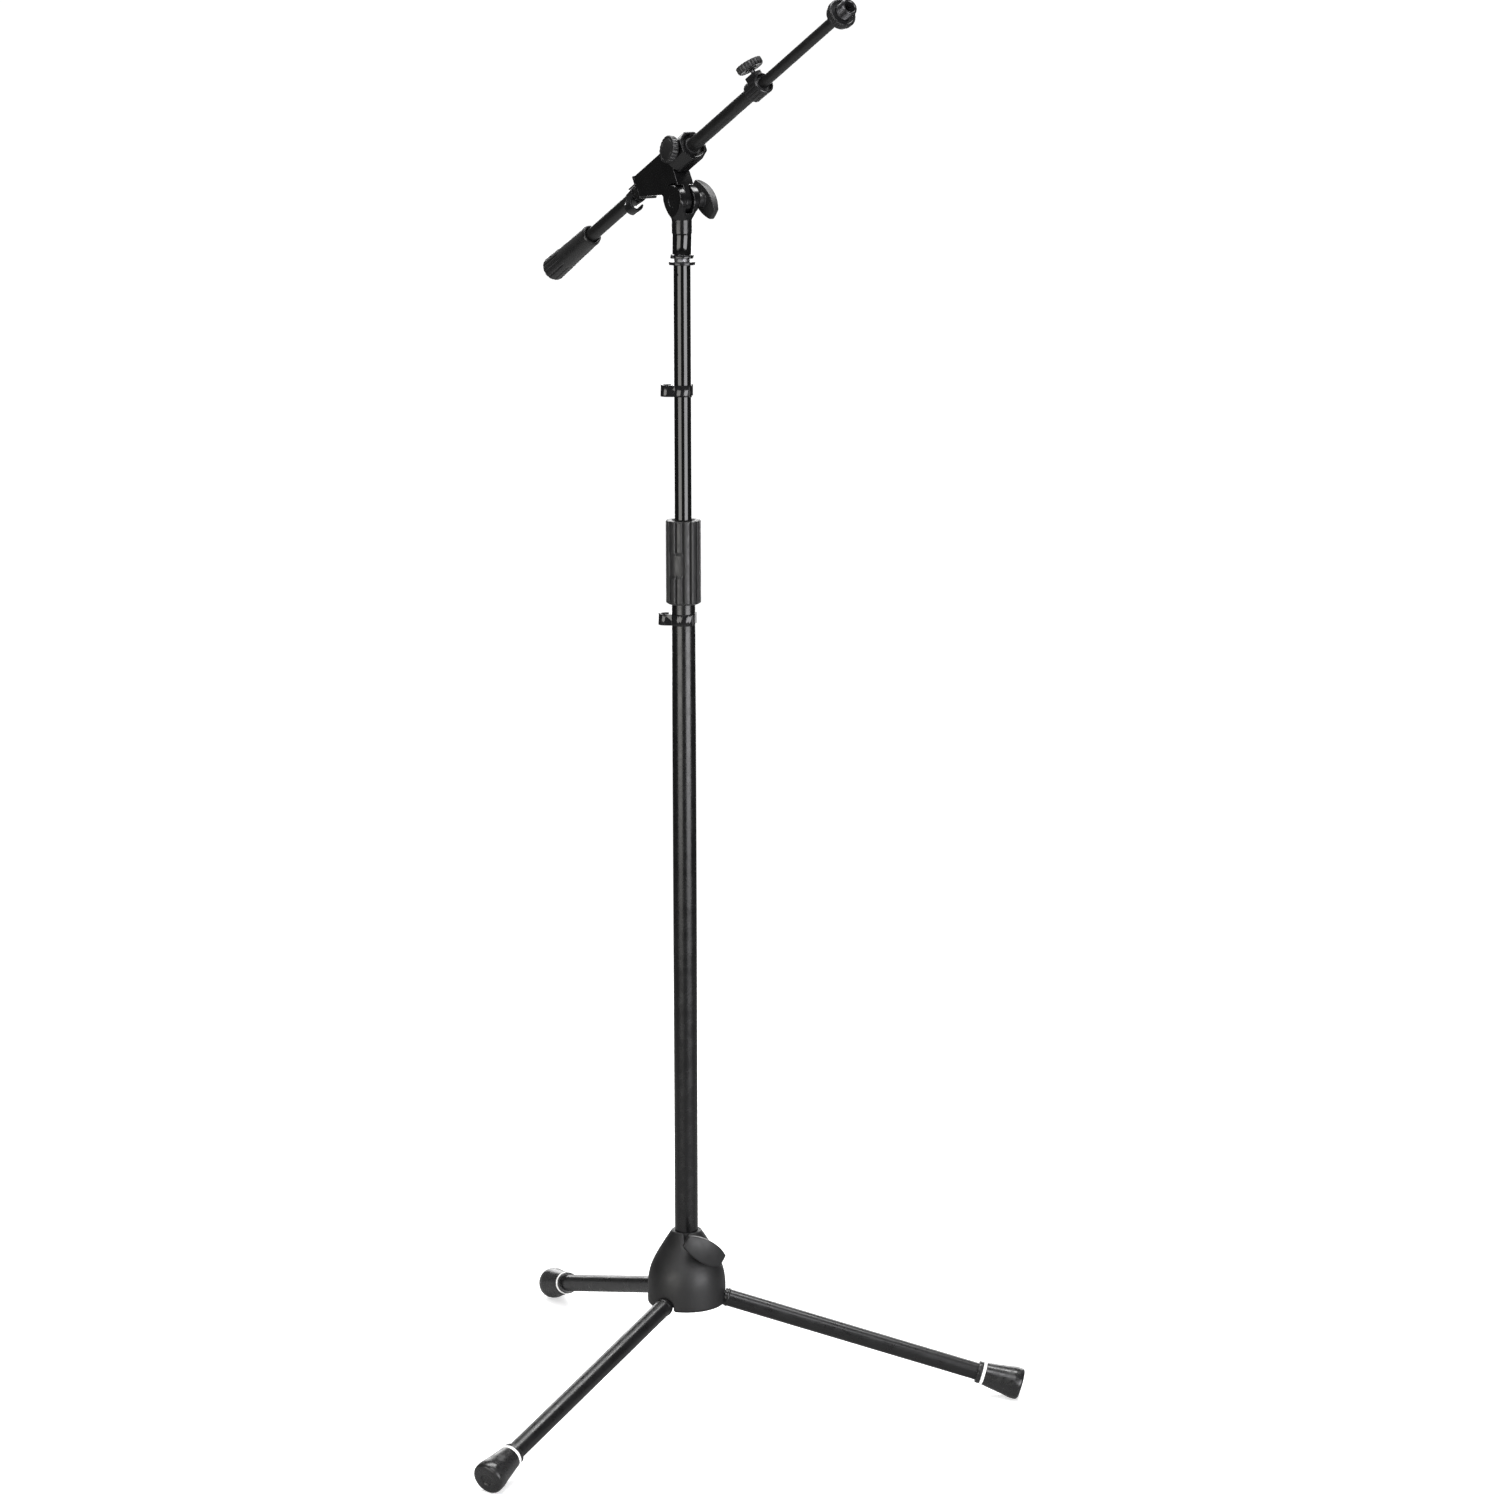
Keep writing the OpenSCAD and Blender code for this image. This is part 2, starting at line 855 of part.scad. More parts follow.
module tail_grip() {
    end_r = 12.4;
    front_r = 10;
    bore_r = boom_r + 1.2;
    ribs = 12;
    color(grey_rubber)
        boom_frame()
            difference() {
                rotate_extrude()
                    polygon([
                        [0, tail_x], [end_r - 2, tail_x], [end_r - 0.5, tail_x + 1.2],
                        [end_r, tail_x + 3], [front_r + 0.6, grip_front - 1.5],
                        [front_r, grip_front], [bore_r, grip_front], [bore_r, grip_front - 6],
                        [0, grip_front - 6],
                    ]);
                translate([0, 0, tail_x + 4])
                    cylinder(r = boom_r, h = 200);
                // grooves round the tail end
                for (i = [0:ribs - 1])
                    rotate([0, 0, i * 360 / ribs])
                        translate([end_r + 0.6, 0, tail_x - 1])
                            cylinder(r = 1.3, h = 32);
            }
}

module tail_plug() {
    color(black_plastic)
        boom_frame()
            translate([0, 0, tail_x + 4])
                cylinder(r = boom_r - 1.1, h = 12);
}

clip_boom_x = -71.2;
module boom_cable_clip() {
    boom_frame()
        translate([0, 0, clip_boom_x])
            rotate([180, 0, 149])
                translate([0, 0, -clip_height])
                    cable_clip(boom_r);
}

module boom_clutch_collar() {
    collar_end = boom_clutch_x + clutch_len;
    barrel_r = 10.3;
    boss_top = 13.2;
    ribs = 16;
    color(black_plastic)
        difference() {
            union() {
                boom_frame()
                    difference() {
                        rotate_extrude()
                            polygon([
                                [0, boom_clutch_x], [barrel_r - 1, boom_clutch_x],
                                [barrel_r, boom_clutch_x + 1], [barrel_r, collar_end - 0.8],
                                [barrel_r - 0.8, collar_end], [0, collar_end],
                            ]);
                        for (i = [0:ribs - 1])
                            rotate([0, 0, (i + 0.5) * 360 / ribs])
                                translate([barrel_r + 0.4, 0, boom_clutch_x - 1])
                                    cylinder(r = 1, h = clutch_len - 1.5);
                    }
                // flat boss that the screw enters
                screw_frame(clutch_screw_x, clutch_screw_tilt)
                    translate([-9.4, -4.5, 8])
                        cube([14.7, 9, boss_top - 8]);
            }
            boom_frame() {
                translate([0, 0, boom_clutch_x - 1])
                    cylinder(r = boom_r, h = 40);
                translate([0, 0, collar_end - 2])
                    cylinder(r = 8.6, h = 10);
            }
            screw_frame(clutch_screw_x, clutch_screw_tilt)
                cylinder(r = thin_screw_r + run_gap, h = 30);
        }
}

module boom_clutch_liner() {
    color(black_plastic)
        difference() {
            boom_frame()
                tube(boom_r, inner_r + run_gap, boom_tube_front, boom_clutch_x + clutch_len - 2.5);
            screw_frame(clutch_screw_x, clutch_screw_tilt)
                cylinder(r = thin_screw_r + run_gap, h = 30);
        }
}

module boom_clutch_screw() {
    color(steel)
        screw_frame(clutch_screw_x, clutch_screw_tilt)
            translate([0, 0, inner_r + air_gap])
                cylinder(r = thin_screw_r, h = 22 - inner_r - air_gap);
}

module boom_clutch_knob() {
    color(black_plastic)
        screw_frame(clutch_screw_x, clutch_screw_tilt)
            translate([0, 0, 17])
                round_knob(8.6, thin_screw_r);
}

module boom_inner_tube() {
    color(black_paint)
        boom_frame()
            tube(inner_r, inner_r - 0.9, inner_back, head_x + 5);
}

module inner_tube_guide() {
    color(nylon)
        boom_frame()
            tube(boom_r - 1.1 - run_gap, inner_r, inner_back, inner_back + 18);
}

stud_length = 11;
ring_front = head_x + 10;
neck_r = stud_r - 0.4;
module head_stud() {
    bore_r = 5.2;
    color(steel)
        boom_frame()
            difference() {
                union() {
                    translate([0, 0, head_x])
                        cylinder(r = 12.2, h = 3.4);
                    translate([0, 0, head_x])
                        cylinder(r = neck_r, h = ring_front - head_x + eps);
                    translate([0, 0, ring_front])
                        cylinder(r = stud_r, h = stud_length);
                }
                translate([0, 0, head_x - 1])
                    cylinder(r = inner_r, h = 6);
                translate([0, 0, head_x])
                    cylinder(r = bore_r, h = 60);
            }
}

module head_lock_ring() {
    ring_r = 13.8;
    color(black_plastic)
        boom_frame()
            difference() {
                rotate_extrude()
                    polygon([
                        [neck_r + run_gap, head_x + 3.7], [ring_r - 0.8, head_x + 3.7],
                        [ring_r, head_x + 4.5], [ring_r, ring_front - 1],
                        [ring_r - 0.8, ring_front - 0.2], [neck_r + run_gap, ring_front - 0.2],
                    ]);
                for (i = [0:23])
                    rotate([0, 0, i * 15])
                        translate([ring_r + 0.4, 0, head_x + 3])
                            cylinder(r = 0.9, h = 10);
            }
}

hub_shell();
hub_bush();
hub_brake_shoe();
hub_wing_screw();
hub_wing();
leg_hinge_pins();
leg_root(0);  // leg_root_1
leg_root(1);  // leg_root_2
leg_root(2);  // leg_root_3
leg_tube(0);  // leg_tube_1
leg_tube(1);  // leg_tube_2
leg_tube(2);  // leg_tube_3
foot(0);  // foot_1
foot(1);  // foot_2
foot(2);  // foot_3
foot_ring(0);  // foot_ring_1
foot_ring(1);  // foot_ring_2
foot_ring(2);  // foot_ring_3
lower_tube();
column_end_plug();
clutch_body();
clutch_collet();
clutch_core();
clutch_grip();
cable_clip_lower();
upper_tube();
upper_tube_guide();
cable_clip_upper();
top_stud();
lock_nut();
swivel_sleeve();
yoke();
tilt_bolt();
tilt_washers();
tilt_nut();
tilt_wing();
clamp_body();
clamp_liner();
clamp_pad();
clamp_screw();
clamp_knob();
boom_tube();
tail_grip();
tail_plug();
boom_cable_clip();
boom_clutch_collar();
boom_clutch_liner();
boom_clutch_screw();
boom_clutch_knob();
boom_inner_tube();
inner_tube_guide();
head_stud();
head_lock_ring();
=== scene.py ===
"""Boom microphone stand: the looks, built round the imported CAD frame.

Lengths in names that end in _mm, and in the outlines given to lathe(), are in millimetres.
"""
import json
import math

import bpy
from mathutils import Matrix, Vector


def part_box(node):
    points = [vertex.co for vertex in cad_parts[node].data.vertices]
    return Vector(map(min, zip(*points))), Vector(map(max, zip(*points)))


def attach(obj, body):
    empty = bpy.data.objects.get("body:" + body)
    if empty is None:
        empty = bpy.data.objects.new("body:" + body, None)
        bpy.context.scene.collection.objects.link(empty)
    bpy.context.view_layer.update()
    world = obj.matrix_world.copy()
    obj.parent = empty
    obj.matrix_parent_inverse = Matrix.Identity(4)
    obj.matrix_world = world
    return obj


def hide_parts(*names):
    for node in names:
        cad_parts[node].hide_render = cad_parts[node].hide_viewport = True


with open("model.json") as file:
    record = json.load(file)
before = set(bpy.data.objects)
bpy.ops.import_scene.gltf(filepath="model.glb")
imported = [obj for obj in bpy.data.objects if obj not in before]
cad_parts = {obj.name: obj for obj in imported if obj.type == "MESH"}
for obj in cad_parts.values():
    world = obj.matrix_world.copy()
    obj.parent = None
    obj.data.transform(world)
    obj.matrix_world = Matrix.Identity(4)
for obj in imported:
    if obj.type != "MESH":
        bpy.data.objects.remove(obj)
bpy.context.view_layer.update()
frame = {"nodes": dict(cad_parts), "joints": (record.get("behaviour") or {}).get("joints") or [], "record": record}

MM = 0.001
THREAD_DIAMETER = 15.875        # 5/8 inch
THREAD_PITCH = 25.4 / 27
joints = {j["name"]: j for j in frame["joints"]}


# ---- frames, all taken from the CAD model's joints and meshes ----

def joint_point(name):
    return Vector(joints[name]["pos_m"])


def joint_axis(name):
    return Vector(joints[name]["axis"]).normalized()


def frame_at(origin, z_axis, x_hint=(0, 0, 1)):
    """A frame at origin with its Z along z_axis and its X as near x_hint as it can be."""
    z = Vector(z_axis).normalized()
    x = Vector(x_hint)
    x = (x - z * x.dot(z)).normalized()
    y = z.cross(x)
    m = Matrix((x, y, z)).transposed().to_4x4()
    m.translation = Vector(origin)
    return m


def local_points(node, place):
    back = place.inverted()
    return [back @ v.co / MM for v in frame["nodes"][node].data.vertices]


def span(node, place):
    """Lowest and highest place of a CAD node along a frame's Z, in mm."""
    zs = [p.z for p in local_points(node, place)]
    return min(zs), max(zs)


def reach(node, place):
    """A CAD node's largest distance from a frame's Z axis, in mm."""
    return max(math.hypot(p.x, p.y) for p in local_points(node, place))


COLUMN = Matrix.Identity(4)
pivot = joint_point("boom_tilt")
boom_dir = joint_axis("boom_slide")
bolt_dir = -joint_axis("boom_tilt")
boom_up = boom_dir.cross(bolt_dir)
knob_foot = joint_point("clamp_knob_turn")
BOOM = frame_at(knob_foot - boom_dir * (knob_foot - pivot).dot(boom_dir), boom_dir, -boom_up)
BRAKE = frame_at(joint_point("hub_wing_turn"), joint_axis("hub_wing_turn"))
CLAMP_SCREW = frame_at(knob_foot, joint_axis("clamp_knob_turn"), boom_dir)
CLUTCH_SCREW = frame_at(joint_point("boom_clutch_knob_turn"), joint_axis("boom_clutch_knob_turn"), boom_dir)


def leg_frame(i):
    low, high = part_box(f"leg_tube_{i}")
    hinge = joint_point(f"leg_{i}_fold")
    return frame_at(hinge, (low + high) / 2 - hinge)


# ---- mesh helpers ----

def rounded(corners, closed=False, steps=4):
    """The outline through corners (r, z, radius), each corner rounded off by its own radius."""
    count = len(corners)
    out = []
    for i, (r, z, radius) in enumerate(corners):
        here = Vector((r, z))
        ends = not closed and i in (0, count - 1)
        if radius <= 0 or ends:
            out.append(here)
            continue
        before = Vector(corners[i - 1][:2]) - here
        after = Vector(corners[(i + 1) % count][:2]) - here
        turn = math.pi - before.angle(after)
        cut = min(radius * math.tan(turn / 2), 0.45 * before.length, 0.45 * after.length)
        a = here + before.normalized() * cut
        b = here + after.normalized() * cut
        for k in range(steps + 1):
            t = k / steps
            out.append(a * (1 - t) ** 2 + here * 2 * t * (1 - t) + b * t * t)
    return [(p.x, p.y) for p in out]


def finish_mesh(name, verts, faces, place, sharp_deg):
    mesh = bpy.data.meshes.new(name)
    mesh.from_pydata([tuple(place @ (Vector(v) * MM)) for v in verts], [], faces)
    mesh.validate()
    mesh.shade_smooth()
    mesh.set_sharp_from_angle(angle=math.radians(sharp_deg))
    obj = bpy.data.objects.new(name, mesh)
    bpy.context.scene.collection.objects.link(obj)
    return obj


def lathe(name, outline, place, segments=72, closed=True, shape=None, sharp_deg=50):
    """Turns an outline of (r, z), drawn counter-clockwise round the solid, about a frame's Z axis.
    shape(r, z, angle) moves each point in or out."""
    verts = []
    rings = []
    for r, z in outline:
        ring = []
        if r < 1e-6:
            verts.append((0, 0, z))
            ring = [len(verts) - 1] * segments
        else:
            for j in range(segments):
                angle = 2 * math.pi * j / segments
                radius = shape(r, z, angle) if shape else r
                verts.append((radius * math.cos(angle), radius * math.sin(angle), z))
                ring.append(len(verts) - 1)
        rings.append(ring)
    faces = []
    pairs = list(zip(rings, rings[1:] + rings[:1])) if closed else list(zip(rings, rings[1:]))
    for low, high in pairs:
        for j in range(segments):
            k = (j + 1) % segments
            corners = [low[j], low[k], high[k], high[j]]
            face = [c for n, c in enumerate(corners) if c != corners[n - 1]]
            if len(face) > 2:
                faces.append(face)
    return finish_mesh(name, verts, faces, place, sharp_deg)


def stretch(r, z0, z1, step):
    """Points at radius r from z0 to z1, about step apart."""
    count = max(1, round(abs(z1 - z0) / step))
    return [(r, z0 + (z1 - z0) * k / count) for k in range(count + 1)]


def flutes(count, depth, width_mm, z0, z1, fade=1.5, phase=0.0):
    """Round-bottomed grooves along the axis between z0 and z1, for lathe's shape."""
    def shape(r, z, angle):
        if r < 1:
            return r
        step = 2 * math.pi / count
        off = ((angle - phase) % step) - step / 2
        x = min(1.0, abs(off) * r / (width_mm / 2))
        groove = 0.5 + 0.5 * math.cos(math.pi * x)
        ends = min(1.0, max(0.0, (z - z0) / fade), max(0.0, (z1 - z) / fade))
        return r - depth * groove * ends
    return shape


def outside(cut, limit_r):
    """The same cut for lathe's shape, only on points outside limit_r."""
    return lambda r, z, angle: cut(r, z, angle) if r > limit_r else r


def thread(major_r, pitch, z0, z1):
    """A right-hand thread for lathe's shape, on points near the major radius."""
    def shape(r, z, angle):
        if abs(r - major_r) > 0.05 or not z0 <= z <= z1:
            return r
        phase = (z / pitch - angle / (2 * math.pi)) % 1
        depth = 0.6 * pitch * (1 - min(1.0, abs(phase - 0.5) * 2.6))
        ends = min(1.0, (z - z0) / pitch, (z1 - z) / pitch)
        return r - depth * max(0.0, ends)
    return shape


# ---- materials ----

class Nodes:
    """A small wrapper that adds shader nodes and links them."""

    def __init__(self, name):
        self.material = bpy.data.materials.new(name)
        self.material.use_nodes = True
        self.tree = self.material.node_tree
        self.shader = self.tree.nodes["Principled BSDF"]
        self.coords = self.add("ShaderNodeTexCoord").outputs["Object"]

    def add(self, kind, **values):
        node = self.tree.nodes.new(kind)
        for key, value in values.items():
            setattr(node, key, value)
        return node

    def link(self, a, b):
        self.tree.links.new(a, b)

    def scaled(self, size_mm, place=None):
        """Coordinates in a frame, in units of size_mm along its X, Y and Z."""
        node = self.add("ShaderNodeMapping", vector_type="TEXTURE")
        if place is not None:
            node.inputs["Location"].default_value = place.translation
            node.inputs["Rotation"].default_value = place.to_euler()
        node.inputs["Scale"].default_value = [s * MM for s in size_mm]
        self.link(self.coords, node.inputs["Vector"])
        return node.outputs["Vector"]

    def noise(self, size_mm, detail=3.0, place=None, rough=0.55):
        size = size_mm if isinstance(size_mm, (tuple, list)) else (size_mm,) * 3
        node = self.add("ShaderNodeTexNoise")
        node.inputs["Scale"].default_value = 1.0
        node.inputs["Detail"].default_value = detail
        node.inputs["Roughness"].default_value = rough
        self.link(self.scaled(size, place), node.inputs["Vector"])
        return node.outputs["Fac"]

    def ramp(self, value, low, high, out_low, out_high):
        node = self.add("ShaderNodeMapRange")
        node.interpolation_type = "SMOOTHSTEP"
        self.link(value, node.inputs["Value"])
        limits = {"From Min": low, "From Max": high, "To Min": out_low, "To Max": out_high}
        for key, number in limits.items():
            node.inputs[key].default_value = number
        return node.outputs["Result"]

    def math(self, operation, a, b):
        node = self.add("ShaderNodeMath", operation=operation)
        for socket, value in zip(node.inputs, (a, b)):
            if isinstance(value, (int, float)):
                socket.default_value = value
            else:
                self.link(value, socket)
        return node.outputs[0]

    def mix(self, factor, colour_a, colour_b):
        node = self.add("ShaderNodeMix", data_type="RGBA")
        self.link(factor, node.inputs["Factor"])
        for key, colour in (("A", colour_a), ("B", colour_b)):
            socket = [s for s in node.inputs if s.name == key and s.type == "RGBA"][0]
            if isinstance(colour, tuple):
                socket.default_value = (*colour, 1)
            else:
                self.link(colour, socket)
        return [s for s in node.outputs if s.type == "RGBA"][0]

    def bump(self, heights):
        """Adds up bumps, each (height, strength, distance in mm)."""
        normal = None
        for height, strength, distance_mm in heights:
            node = self.add("ShaderNodeBump")
            node.inputs["Strength"].default_value = strength
            node.inputs["Distance"].default_value = distance_mm * MM
            self.link(height, node.inputs["Height"])
            if normal is not None:
                self.link(normal, node.inputs["Normal"])
            normal = node.outputs["Normal"]
        self.link(normal, self.shader.inputs["Normal"])

    def colour(self, value):
        self.link(value, self.shader.inputs["Base Color"])

    def roughness(self, value):
        self.link(value, self.shader.inputs["Roughness"])

    def set(self, socket, value):
        self.shader.inputs[socket].default_value = value


def powder_coat(name, dark, light, rough, peel=0.35, grain_mm=0.9):
    """Satin powder coat: orange peel, faint cloudiness, and a little dust."""
    n = Nodes(name)
    cloud = n.noise(26, 4)
    dust = n.ramp(n.noise(2.2, 5), 0.58, 0.76, 0.0, 1.0)
    base = n.mix(cloud, dark, light)
    n.colour(n.mix(n.math("MULTIPLY", dust, 0.12), base, tuple(2.2 * c for c in light)))
    rub = n.ramp(n.noise(13, 5, rough=0.65), 0.3, 0.7, -0.05, 0.06)
    n.roughness(n.math("ADD", n.math("ADD", rub, rough), n.math("MULTIPLY", dust, 0.04)))
    n.bump([(n.noise(grain_mm, 2), peel, 0.05), (n.noise(0.22, 2), 0.08, 0.01)])
    n.set("Specular IOR Level", 0.5)
    return n.material


def drawn_gloss(name, dark, light, rough, place):
    """Gloss black tube with faint marks along it from sliding in its clutch."""
    n = Nodes(name)
    marks = n.noise((0.35, 0.35, 60), 4, place)
    wide = n.noise((1.6, 1.6, 240), 3, place)
    n.colour(n.mix(wide, dark, light))
    scuff = n.ramp(marks, 0.6, 0.72, 0.0, 0.12)
    n.roughness(n.math("ADD", n.ramp(wide, 0.3, 0.7, rough - 0.03, rough + 0.05), scuff))
    n.bump([(marks, 0.05, 0.006), (n.noise(2.4, 2), 0.04, 0.03)])
    return n.material


def moulded(name, dark, light, rough, grain_mm=0.35, depth=0.05, strength=0.35):
    """Moulded plastic with a fine spark-eroded texture."""
    n = Nodes(name)
    n.colour(n.mix(n.noise(9, 4), dark, light))
    handled = n.ramp(n.noise(11, 4), 0.35, 0.7, rough - 0.07, rough + 0.05)
    n.roughness(handled)
    n.bump([(n.noise(grain_mm, 3, rough=0.7), strength, depth), (n.noise(4, 2), 0.1, 0.06)])
    return n.material


def gloss_plastic(name, dark, light, rough):
    """Glossy injection-moulded plastic with slight flow marks."""
    n = Nodes(name)
    n.colour(n.mix(n.noise(5, 3), dark, light))
    n.roughness(n.ramp(n.noise(3.5, 5), 0.35, 0.7, rough - 0.03, rough + 0.07))
    n.bump([(n.noise(5, 2), 0.12, 0.06), (n.noise(0.4, 2), 0.06, 0.01)])
    return n.material


def rubber(name, dark, light, rough, grain_mm=0.45, strength=0.6):
    """Matte rubber: pores, a grey bloom and handling marks."""
    n = Nodes(name)
    bloom = n.ramp(n.noise(7, 5, rough=0.65), 0.35, 0.72, 0.0, 1.0)
    fine = n.ramp(n.noise(0.8, 4), 0.3, 0.75, 0.0, 1.0)
    n.colour(n.mix(n.math("MULTIPLY", n.math("ADD", bloom, fine), 0.5), dark, light))
    n.roughness(n.ramp(bloom, 0.0, 1.0, rough - 0.08, rough + 0.08))
    n.bump([(n.noise(grain_mm, 4, rough=0.75), strength, 0.05), (n.noise(2.6, 3), 0.07, 0.06)])
    n.set("Sheen Weight", 0.06)
    n.set("Sheen Roughness", 0.6)
    return n.material


def turned_steel(name, colour_a, colour_b, rough, place, metallic=1.0):
    """Plated steel with turning marks round a frame's axis."""
    n = Nodes(name)
    n.colour(n.mix(n.noise(1.6, 4), colour_a, colour_b))
    n.roughness(n.ramp(n.noise(1.2, 5), 0.3, 0.7, rough - 0.07, rough + 0.1))
    n.bump([(n.noise((3.0, 3.0, 0.12), 3, place), 0.12, 0.008)])
    n.set("Metallic", metallic)
    return n.material


def plain_plastic(name, dark, light, rough):
    """Natural nylon or white plastic, slightly cloudy."""
    n = Nodes(name)
    n.colour(n.mix(n.noise(3, 5), dark, light))
    n.roughness(n.ramp(n.noise(2, 4), 0.3, 0.7, rough - 0.06, rough + 0.08))
    n.bump([(n.noise(0.5, 3), 0.15, 0.02)])
    return n.material


SATIN = powder_coat("satin_powder_coat", (0.003, 0.003, 0.0032), (0.006, 0.006, 0.0062), 0.25, 0.1)
# The legs' coat is the satin coat painted slightly lighter. That lighter colour is painted light for the light
# falling on their tops; its higher roughness spreads the highlight.
LEG_COAT_PAINTED_LIGHT = powder_coat("leg_powder_coat_painted_light", (0.004, 0.004, 0.0042), (0.007, 0.007, 0.0073), 0.3, 0.06)
CAST = powder_coat("cast_powder_coat", (0.006, 0.006, 0.0062), (0.01, 0.01, 0.0104), 0.5, 0.3, 1.3)
FORK = powder_coat("fork_semi_gloss", (0.0025, 0.0025, 0.0027), (0.0045, 0.0045, 0.0047), 0.24, 0.1, 1.1)
BOOM_COAT = powder_coat("boom_powder_coat", (0.005, 0.005, 0.0052), (0.009, 0.009, 0.009), 0.34, 0.12, 0.8)
GLOSS_TUBE = drawn_gloss("gloss_black_tube", (0.002, 0.002, 0.002), (0.004, 0.004, 0.004), 0.09, COLUMN)
CLIP = gloss_plastic("clip_plastic", (0.006, 0.006, 0.0065), (0.011, 0.011, 0.0115), 0.1)
HANDLE = moulded("handle_plastic", (0.008, 0.008, 0.0083), (0.014, 0.014, 0.0144), 0.48)
KNOB = moulded("knob_plastic", (0.007, 0.007, 0.0072), (0.012, 0.012, 0.0122), 0.45, 0.5, 0.04, 0.15)
COLLAR = moulded("collar_plastic", (0.008, 0.008, 0.0085), (0.014, 0.014, 0.0145), 0.3, 0.5, 0.04, 0.2)
GRIP_RUBBER = rubber("grip_rubber", (0.006, 0.006, 0.0062), (0.011, 0.011, 0.0113), 0.42, 0.45, 0.15)
TAIL_RUBBER = rubber("tail_rubber", (0.0025, 0.0025, 0.0026), (0.0045, 0.0045, 0.0046), 0.3, 0.6, 0.12)
FOOT_RUBBER = rubber("foot_rubber", (0.005, 0.005, 0.0052), (0.009, 0.009, 0.0092), 0.32, 0.5, 0.2)
RING_WHITE = plain_plastic("ring_white", (0.82, 0.82, 0.81), (0.9, 0.9, 0.89), 0.4)
NYLON = plain_plastic("natural_nylon", (0.62, 0.6, 0.55), (0.74, 0.72, 0.67), 0.45)
INNER_PLASTIC = moulded("inner_plastic", (0.012, 0.012, 0.0125), (0.02, 0.02, 0.021), 0.5)
TOP_PLATING = turned_steel(
    "black_plated_steel", (0.015, 0.015, 0.016), (0.03, 0.03, 0.031), 0.18, COLUMN, 0.6)
ZINC = turned_steel("zinc_steel", (0.5, 0.5, 0.51), (0.66, 0.66, 0.67), 0.3, COLUMN)
BLACK_STEEL = turned_steel("black_oxide_steel", (0.02, 0.02, 0.021), (0.04, 0.04, 0.042), 0.24, BOOM, 0.5)
SCREW_STEEL = turned_steel("dark_screw_steel", (0.06, 0.06, 0.062), (0.1, 0.1, 0.102), 0.3, BRAKE)

CAD_MATERIALS = {
    "hub_shell": CAST, "hub_bush": INNER_PLASTIC, "hub_brake_shoe": NYLON, "hub_wing_screw": SCREW_STEEL,
    "hub_wing": HANDLE, "leg_hinge_pins": ZINC, "lower_tube": SATIN, "column_end_plug": INNER_PLASTIC,
    "clutch_body": COLLAR, "clutch_collet": NYLON, "clutch_core": ZINC, "clutch_grip": GRIP_RUBBER,
    "cable_clip_lower": CLIP, "upper_tube": GLOSS_TUBE, "upper_tube_guide": NYLON, "cable_clip_upper": CLIP,
    "top_stud": ZINC, "lock_nut": FORK, "swivel_sleeve": GLOSS_TUBE, "yoke": FORK, "tilt_bolt": SCREW_STEEL,
    "tilt_washers": NYLON, "tilt_nut": SCREW_STEEL, "tilt_wing": HANDLE, "clamp_body": FORK,
    "clamp_liner": INNER_PLASTIC, "clamp_pad": NYLON, "clamp_screw": SCREW_STEEL, "clamp_knob": KNOB,
    "boom_tube": BOOM_COAT, "tail_grip": TAIL_RUBBER, "tail_plug": INNER_PLASTIC, "boom_cable_clip": CLIP,
    "boom_clutch_collar": COLLAR, "boom_clutch_liner": INNER_PLASTIC, "boom_clutch_screw": SCREW_STEEL,
    "boom_clutch_knob": KNOB, "boom_inner_tube": BOOM_COAT, "inner_tube_guide": NYLON,
    "head_stud": BLACK_STEEL, "head_lock_ring": COLLAR,
}
for i in (1, 2, 3):
    CAD_MATERIALS.update({
        f"leg_root_{i}": LEG_COAT_PAINTED_LIGHT, f"leg_tube_{i}": LEG_COAT_PAINTED_LIGHT,
        f"foot_{i}": FOOT_RUBBER, f"foot_ring_{i}": RING_WHITE,
    })


def paint(obj, material):
    obj.data.materials.clear()
    obj.data.materials.append(material)


for node_name, node_material in CAD_MATERIALS.items():
    cad = frame["nodes"][node_name]
    paint(cad, node_material)
    cad.data.shade_smooth()
    cad.data.set_sharp_from_angle(angle=math.radians(35))


# ---- CAD pieces that keep their shape and get soft edges ----

def weld(obj):
    obj.modifiers.new("weld", "WELD").merge_threshold = 0.002 * MM


def soften_edges(node, width_mm, segments=2, angle_deg=35):
    """Weld, clean and bevel a CAD piece's edges."""
    obj = frame["nodes"][node]
    weld(obj)
    clean = obj.modifiers.new("clean", "DECIMATE")
    clean.decimate_type = "DISSOLVE"
    clean.angle_limit = math.radians(0.5)
    bevel = obj.modifiers.new("bevel", "BEVEL")
    bevel.width = width_mm * MM
    bevel.segments = segments
    bevel.limit_method = "ANGLE"
    bevel.angle_limit = math.radians(angle_deg)
    bevel.harden_normals = True


def soften_casting(node, voxel_mm, rounds):
    """Remesh a casting finely and smooth it, so that its corners get small fillets."""
    obj = frame["nodes"][node]
    weld(obj)
    remesh = obj.modifiers.new("remesh", "REMESH")
    remesh.mode = "VOXEL"
    remesh.voxel_size = voxel_mm * MM
    remesh.use_smooth_shade = True
    smooth = obj.modifiers.new("smooth", "SMOOTH")
    smooth.factor = 0.5
    smooth.iterations = rounds


soften_casting("hub_shell", 0.8, 8)
soften_casting("yoke", 0.4, 14)
soften_casting("clamp_body", 0.4, 12)
soften_casting("hub_wing", 0.45, 12)
soften_casting("tilt_wing", 0.45, 12)
for clip_node in ("cable_clip_lower", "cable_clip_upper", "boom_cable_clip"):
    soften_edges(clip_node, 0.3)
for edged in ("clutch_body", "lock_nut", "swivel_sleeve", "boom_clutch_collar",
              "leg_root_1", "leg_root_2", "leg_root_3"):
    soften_edges(edged, 0.35)


# ---- turned and fluted pieces that replace plain CAD ones ----

def stand_for(obj, node, material, body):
    paint(obj, material)
    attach(obj, body)
    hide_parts(node)


